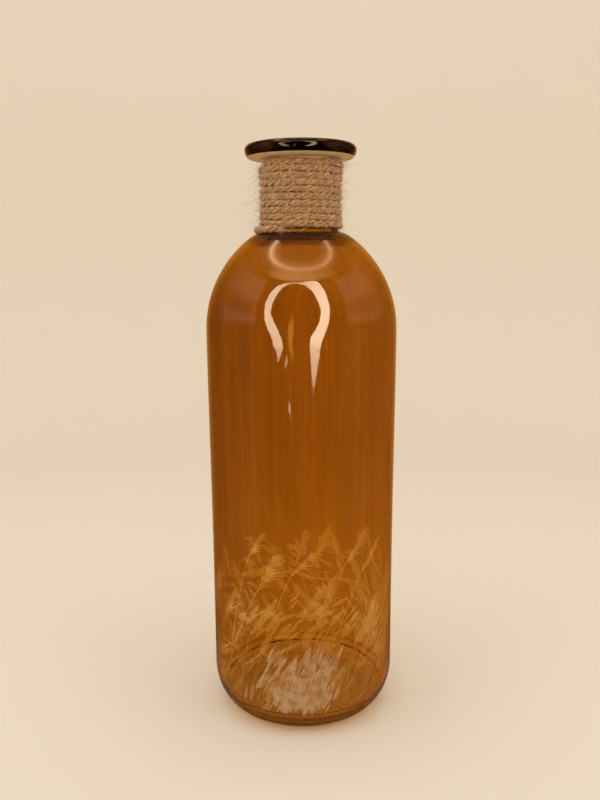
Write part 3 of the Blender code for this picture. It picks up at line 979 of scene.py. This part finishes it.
def twine():
    """Three plies laid round each other along the winding, S-laid, each with its own slubs. A
    ply's centre goes round the twine's by the cosine outward and the sine upward, and its ring
    of radii wavers along its strands. Returns the winding and its directions."""
    line = twine_line()
    along, outward, up = directions(line)
    count = len(line)
    length = np.concatenate(([0], np.cumsum(np.linalg.norm(np.diff(line, axis=0), axis=1))))
    length_mm = length[:, None] * MM
    rng = np.random.default_rng(17)
    swell = 1 + uneven(count, SWELL, rng)
    lay_turn = TURN * length / LAY + uneven(count, LAY_DRIFT, rng)
    all_verts, all_faces, all_uv = [], [], []
    for ply in range(PLIES):
        turn = (lay_turn + TURN * ply / PLIES)[:, None]
        spin = PLY_REACH_OUT * np.cos(turn) * outward + PLY_REACH_UP * np.sin(turn) * up
        offset = PLY_OFFSET * swell * (1 + uneven(count, PLY_STRAY, rng))
        centre = line + offset[:, None] * spin
        ply_along = unit(np.gradient(centre, axis=0))
        side = unit(spin - dot(spin, ply_along) * ply_along)
        fat = PLY_R * swell * (1 + uneven(count, SLUBS, rng))
        strands = np.stack([uneven(count, STRANDS, rng) for _ in range(PLY_SIDES)], axis=1)
        radii = fat[:, None] * (1 + strands)
        radii[[0, -1]] *= 0.6
        rings = tube(centre, side, np.cross(ply_along, side), radii, PLY_SIDES)
        all_verts.append(rings.reshape(-1, 3))
        grid = (ply * count + np.arange(count))[:, None] * PLY_SIDES + np.arange(PLY_SIDES)
        all_faces += tube_quads(grid) + [grid[0][::-1].tolist(), grid[-1].tolist()]
        u = (np.arange(PLY_SIDES + 1) / PLY_SIDES + length_mm / FIBRE_TWIST_MM
             + PLY_SHIFT * ply)
        uv = np.stack((u, np.broadcast_to(length_mm, u.shape)), -1)
        loops = np.stack((uv[:-1, :-1], uv[:-1, 1:], uv[1:, 1:], uv[1:, :-1]), axis=2)
        all_uv += [loops.reshape(-1, 2), np.zeros((2 * PLY_SIDES, 2))]
    piece = add_piece("twine_plies", np.vstack(all_verts), all_faces,
                      [material_of(spun_jute_fibre)])
    layer = piece.data.uv_layers.new(name="UVMap")
    layer.data.foreach_set("uv", np.vstack(all_uv).astype(np.float32).ravel())
    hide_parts("neck_twine")
    return line, along, outward, up


def hairs(name, roots, starts, curls, lengths, radii, finish):
    """Thin three-sided tapering fibres: each follows its start direction, and turns towards
    its curl by the square of the distance along it."""
    # a fibre that would climb through the lip ends under it
    climb = lengths * np.maximum(starts[:, 2] + curls[:, 2], 1e-6)
    lengths = lengths * np.clip((LIP_UNDER_Z - roots[:, 2]) / climb, 0.1, 1)
    t = np.linspace(0, 1, FIBRE_STEPS + 1)
    path = roots[:, None] + lengths[:, None, None] * (
        t[:, None] * starts[:, None] + (t ** 2)[:, None] * curls[:, None])
    along = unit(np.gradient(path, axis=1))
    side = unit(np.cross(along, np.array((0.31, 0.52, 0.79))))
    taper = (1 - 0.75 * t) * radii[:, None]
    verts = tube(path, side, np.cross(along, side), taper[..., None], 3)
    grid = np.arange(verts[..., 0].size).reshape(verts.shape[:-1])
    caps = np.vstack((grid[:, 0][:, ::-1], grid[:, -1]))
    add_piece(name, verts.reshape(-1, 3), tube_quads(grid) + caps.tolist(), [finish])


def fuzz(line, along, outward, up):
    """Loose fibres all over the twine, and the frayed brushes of its two ends. A fibre's root,
    direction and curl are drawn at random, and its length by a falling exponential."""
    rng = np.random.default_rng(23)
    finish = material_of(loose_jute_fibre)
    at = rng.integers(4, len(line) - 4, FUZZ_COUNT)
    turn = rng.uniform(-1.9, 1.9, FUZZ_COUNT)
    radial = np.cos(turn)[:, None] * outward[at] + np.sin(turn)[:, None] * up[at]
    roots = line[at] + TWINE_R * 0.93 * radial
    way = rng.choice((-1, 1), FUZZ_COUNT)[:, None]
    lift = rng.uniform(0.03, 0.55, FUZZ_COUNT)[:, None]
    starts = unit(way * along[at] + lift * radial + rng.normal(0, 0.35, (FUZZ_COUNT, 3)))
    curls = rng.normal(0, 0.75, (FUZZ_COUNT, 3)) + 0.12 * outward[at]
    lengths = np.clip(rng.exponential(FUZZ_MEAN, FUZZ_COUNT) + FUZZ_SHORTEST, 0, FUZZ_LONGEST)
    # nothing may dip into the glass: what starts inwards is turned out
    starts -= np.minimum(dot(starts, outward[at]), 0) * outward[at] * 1.2
    hairs("twine_fuzz", roots, starts, curls, lengths, rng.uniform(*FUZZ_RADII, FUZZ_COUNT),
          finish)
    for name, end, way in (("upper_fray", 0, -1), ("lower_fray", -1, 1)):
        spread = rng.normal(0, 0.36, (FRAY_COUNT, 3))
        starts = unit(way * along[end] + spread + 0.25 * outward[end])
        disc = rng.normal(0, 0.45, (FRAY_COUNT, 2)) * TWINE_R
        roots = line[end] + disc[:, :1] * outward[end] + disc[:, 1:] * up[end]
        curls = rng.normal(0, 0.3, (FRAY_COUNT, 3)) - np.array((0, 0, 0.12))
        hairs(name, roots, starts, curls, rng.uniform(*FRAY_LENGTHS, FRAY_COUNT),
              rng.uniform(*FRAY_RADII, FRAY_COUNT), finish)


# Stage, lamps and camera

def stage():
    """Seamless round sweep: a flat floor that turns up in a quarter circle into a wall. It lies
    a hair under the foot."""
    floor_r, bend_r, wall_h, columns = 0.62, 0.30, 1.27, 96
    run = chain(np.stack((np.linspace(0.02, floor_r, 12), np.zeros(12)), 1),
                arc((floor_r, bend_r), bend_r, bend_r, -90, 0, 16),
                np.stack((np.full(6, floor_r + bend_r), np.linspace(bend_r, wall_h, 6)), 1))
    angles = np.arange(columns) * TURN / columns
    verts = turned(run[:, :1], np.repeat(run[:, 1:], columns, axis=1), angles).reshape(-1, 3)
    grid = np.arange(len(run) * columns).reshape(len(run), columns)
    faces = band_quads(grid).reshape(-1, 4).tolist() + [grid[0].tolist()]
    floor = new_object("backdrop", verts - (0, 0, 0.00002), faces,
                       [material_of(matt_backdrop_paper)])
    floor.data.shade_smooth()


def tube_lamp():
    """A bent tube lamp in front, open at its foot, and slivers of light beside it: strips in an
    upright plane. A strip's rows give the x and z of its two edges in mm, and its glow in
    percent, and between rows all five follow a Catmull-Rom curve. It lights nothing itself."""
    strips = (
        ("#FFE2BC", (-225, 131, -220, 132, 30), (-233, 139, -194, 141, 50),
         (-243, 145, -178, 149, 56), (-261, 151, -167, 156, 64), (-285, 157, -172, 162, 72),
         (-324, 200, -202, 203, 76), (-366, 251, -237, 249, 80), (-405, 314, -280, 309, 82),
         (-432, 397, -319, 375, 82), (-440, 512, -322, 457, 76), (-403, 622, -299, 540, 76),
         (-343, 692, -263, 605, 80), (-264, 718, -225, 656, 66), (-180, 722, -167, 692, 50),
         (-86, 719, -82, 695, 40), (2, 706, 0, 668, 50), (64, 726, 48, 650, 62),
         (138, 750, 87, 615, 74), (210, 747, 120, 581, 84), (256, 694, 140, 538, 90),
         (286, 602, 162, 486, 95), (298, 498, 181, 434, 100), (300, 416, 186, 382, 100),
         (287, 341, 177, 334, 100), (264, 272, 150, 270, 100), (234, 224, 120, 225, 100),
         (205, 179, 84, 183, 100), (186, 161, 71, 164, 94), (169, 150, 74, 153, 74),
         (148, 136, 81, 139, 58), (133, 123, 86, 125, 54), (114, 111, 95, 112, 36),
         (104, 104, 102, 104, 20)),
        ("#FFE2BC", (-132, 147, -130, 147, 10), (-141, 140, -117, 141, 30),
         (-148, 133, -127, 134, 36), (-146, 126, -143, 127, 10)),
        ("#FFE2BC", (-104, 122, -102, 122, 8), (-105, 103, -101, 103, 12),
         (-114, 97, -111, 97, 16), (-119, 91, -104, 92, 36), (-116, 85, -98, 86, 40),
         (-100, 78, -97, 79, 10)),
        ("#FFB84C", (-92, 334, -85, 333, 0), (-110, 270, -66, 270, 20), (-116, 198, -68, 198, 24),
         (-112, 159, -74, 160, 20), (-94, 148, -66, 148, 14), (-81, 134, -74, 134, 0)))
    steps = 6
    t = (np.arange(steps) / steps)[None, :, None]
    verts, faces, glow, base = [], [], [], 0
    for tint, *strip in strips:
        rows = np.array((strip[0], *strip, strip[-1])) / (MM, MM, MM, MM, 100)
        a, b, c, d = (rows[k:k + len(strip) - 1, None, :] for k in range(4))
        run = (b + (c - a) * t / 2 + (a - 2.5 * b + 2 * c - d / 2) * t ** 2
               + (1.5 * b - a / 2 - 1.5 * c + d / 2) * t ** 3).reshape(-1, 5)
        run = np.vstack((run, rows[-1]))
        light = LAMP_GLOW * np.clip(run[:, 4:], 0, 1) * linear(tint)[:3]
        for x, z in ((0, 1), (2, 3)):
            verts.append(np.stack((run[:, x], np.full(len(run), LAMP_Y), run[:, z]), 1))
            glow.append(light)
        first = base + np.arange(len(run) - 1)
        second = first + len(run)
        faces.append(np.stack((first, second, second + 1, first + 1), 1))
        base += 2 * len(run)
    shine = material_of(tube_lamp_glow)
    shine.cycles.emission_sampling = "NONE"
    card = new_object("tube_lamp", np.vstack(verts), np.vstack(faces).tolist(), [shine])
    layer = card.data.attributes.new("glow", "FLOAT_VECTOR", "POINT")
    layer.data.foreach_set("vector", np.vstack(glow).astype(np.float32).ravel())
    card.visible_camera = card.visible_diffuse = card.visible_shadow = False


def lamp(name, place, aim, size, power):
    """A soft rectangular lamp, which lights the vase but isn't seen, nor mirrored by it."""
    data = bpy.data.lights.new(name, "AREA")
    data.shape = "RECTANGLE"
    data.size, data.size_y = size
    data.energy = power
    made = bpy.data.objects.new(name, data)
    made.location = place
    made.rotation_euler = (Vector(aim) - Vector(place)).to_track_quat("-Z", "Y").to_euler()
    made.visible_camera = made.visible_transmission = made.visible_glossy = False
    bpy.context.scene.collection.objects.link(made)


def lights():
    """Four soft lamps, and even light all round. Mirror reflections see the sky as a dark
    ceiling in a bright rim, with a haze of light under it at the front, fuller on the left."""
    lamp("soft_top", (0, -0.10, 1.35), (0, 0, 0.1), (1.3, 1.3), 5.9)
    lamp("soft_left", (-0.75, -0.35, 0.75), (0, 0, 0.15), (0.5, 0.7), 1.4)
    lamp("soft_right", (0.75, -0.35, 0.75), (0, 0, 0.15), (0.5, 0.7), 1.2)
    lamp("soft_front", (-0.04, -0.95, 0.70), (0, 0, 0.2), (0.7, 0.6), 2.4)
    world = bpy.data.worlds.new("studio")
    bpy.context.scene.world = world
    world.use_nodes = True
    tree = world.node_tree
    tree.nodes.clear()
    heading = node(tree, "SeparateXYZ", {0: node(tree, "TexCoord").outputs["Generated"]})
    rim = node(tree, "ValToRGB", {"stops": {
        0.790: "#1C1712", 0.845: "#42352A", 0.868: "#8A7058", 0.890: "#F8CEA4",
        0.922: "#8A6C4E", 0.955: "#2C241C"}, 0: heading.outputs["Z"]})
    haze = node(tree, "ValToRGB", {"stops": {
        0.745: "#1C1712", 0.800: "#CEA467", 0.870: "#C69C60", 0.900: "#E4B87E", 0.920: "#B48E58",
        0.945: "#90704A", 0.978: "#5A4628", 1.000: "#000000"}, 0: heading.outputs["Z"]})
    ahead = node(tree, "MapRange", {"From Min": -0.20, "From Max": -0.54,
                                    "Value": heading.outputs["Y"]})
    both = node(tree, "Mix", {"data_type": "RGBA", 0: ahead, 6: rim, 7: haze})
    fuller = node(tree, "MapRange", {"From Min": -0.45, "From Max": 0.35, "To Min": 9.2,
                                     "To Max": 5.6, "Value": heading.outputs["X"]})
    even = node(tree, "Background", {"Color": "#F4EDE2", "Strength": 0.35})
    seen = node(tree, "Background", {"Color": both, "Strength": fuller})
    mixed = node(tree, "MixShader", {0: mirror_rays(tree), 1: even, 2: seen})
    node(tree, "OutputWorld", {"Surface": mixed})


def camera():
    """The photograph's view: close in front, and looking down by ten degrees."""
    data = bpy.data.cameras.new("view")
    data.sensor_fit = "VERTICAL"
    data.sensor_height = 24.0
    data.lens = 24.6
    data.clip_start = 0.01
    made = bpy.data.objects.new("view", data)
    pan, tilt, roll = 0.126, -9.96, -0.323
    aim = (Matrix.Rotation(math.radians(pan), 4, "Z")
           @ Matrix.Rotation(math.radians(90 + tilt), 4, "X")
           @ Matrix.Rotation(math.radians(roll), 4, "Z"))
    made.matrix_world = Matrix.Translation((0, -0.4331, 0.2441)) @ aim
    bpy.context.scene.collection.objects.link(made)
    bpy.context.scene.camera = made


bpy.context.scene.view_settings.view_transform = "Standard"
vessel()
fuzz(*twine())
stage()
tube_lamp()
lights()
camera()
